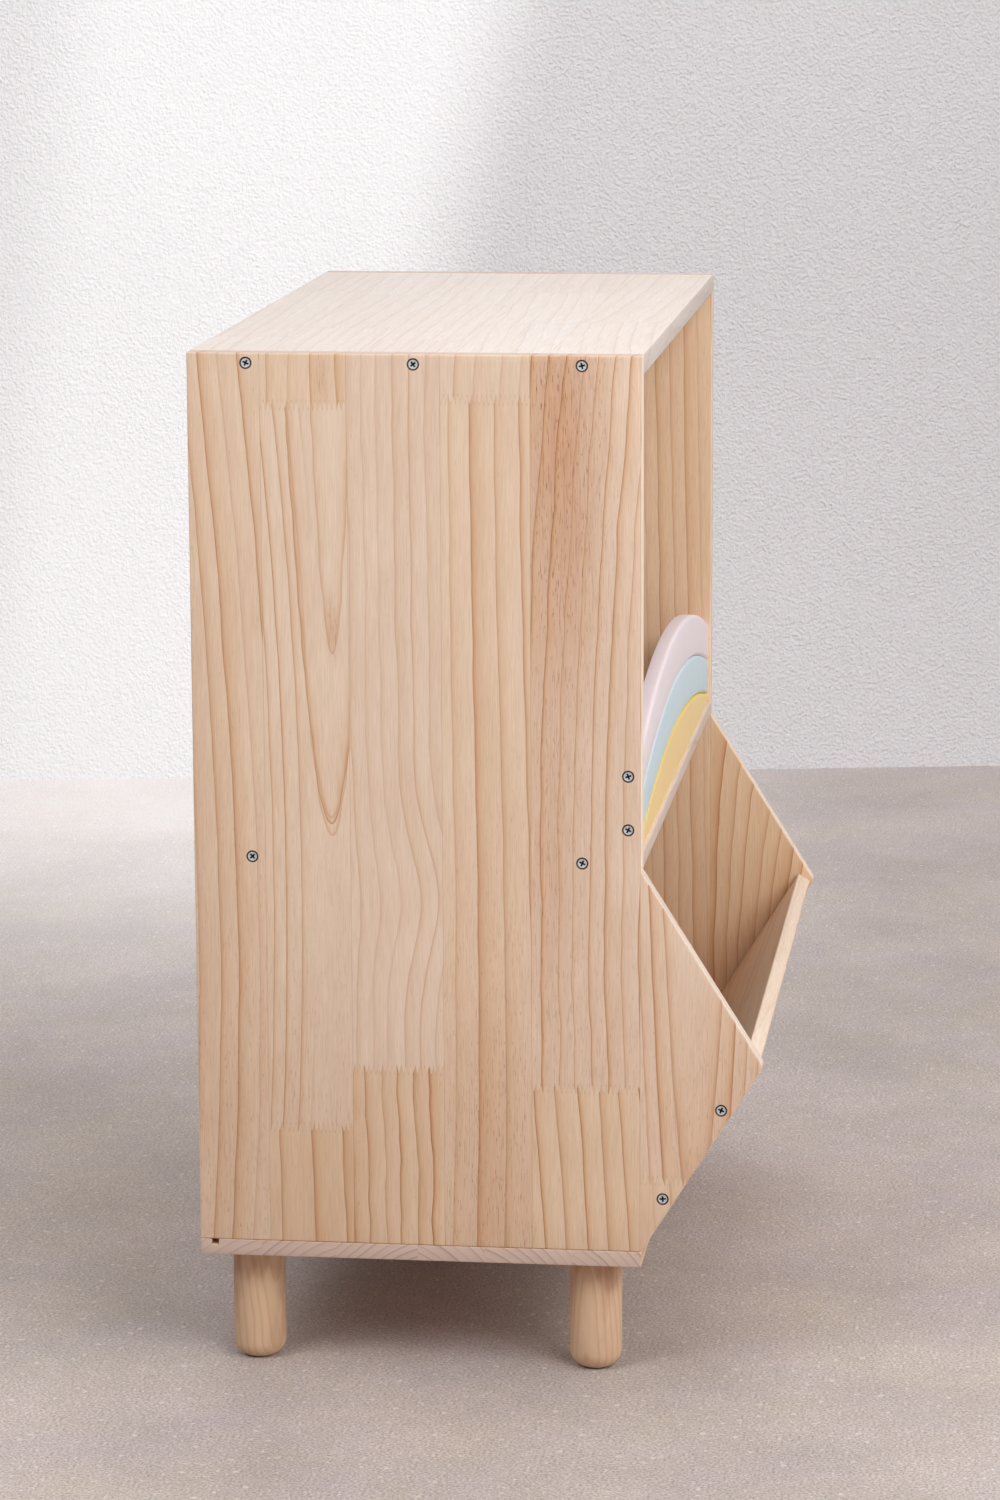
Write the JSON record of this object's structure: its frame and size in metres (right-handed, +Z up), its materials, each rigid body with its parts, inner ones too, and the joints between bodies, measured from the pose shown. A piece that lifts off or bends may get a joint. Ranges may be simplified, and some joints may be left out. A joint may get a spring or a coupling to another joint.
{
  "type": "storage cabinet",
  "caption": "Low pine storage cabinet for a child's room: an open compartment behind a rainbow-shaped board, a tilted toy bin below it, and short round legs.",
  "frame": {"origin": "on the floor, at the middle of the overall width and depth", "axes": "+Z up; -Y is the open front, towards which the sides swell out into a nose; +X is the right seen from the front"},
  "size_m": [0.66, 0.425, 0.775],
  "materials": {
    "side_pine": "clear matt varnish",
    "top_pine": "clear matt varnish",
    "base_pine": "clear matt varnish",
    "shelf_pine": "clear matt varnish",
    "bin_pine": "clear matt varnish",
    "back_plywood": "plain veneer",
    "leg_wood": "clear matt varnish",
    "pink_paint": "matt pink paint on wood",
    "mint_paint": "matt pale blue-green paint on wood",
    "yellow_paint": "matt warm yellow paint on wood",
    "zinc_steel": "bright zinc"
  },
  "bodies": {
    "root": {"left_side_panel": "side_pine", "right_side_panel": "side_pine", "top_panel": "top_pine", "base_panel": "base_pine", "shelf": "shelf_pine", "back_panel": "back_plywood", "bin_front_panel": "bin_pine", "rainbow_outer_arch": "pink_paint", "rainbow_middle_arch": "mint_paint", "rainbow_inner_arch": "yellow_paint", "front_left_leg": "leg_wood", "front_right_leg": "leg_wood", "back_left_leg": "leg_wood", "back_right_leg": "leg_wood", "leg_bolts": "zinc_steel", "leg_inserts": "zinc_steel", "left_top_screws": "zinc_steel", "right_top_screws": "zinc_steel", "left_shelf_screws": "zinc_steel", "right_shelf_screws": "zinc_steel", "left_rainbow_screws": "zinc_steel", "right_rainbow_screws": "zinc_steel", "left_bin_screws": "zinc_steel", "right_bin_screws": "zinc_steel", "left_base_screws": "zinc_steel", "right_base_screws": "zinc_steel"}
  },
  "joints": []
}
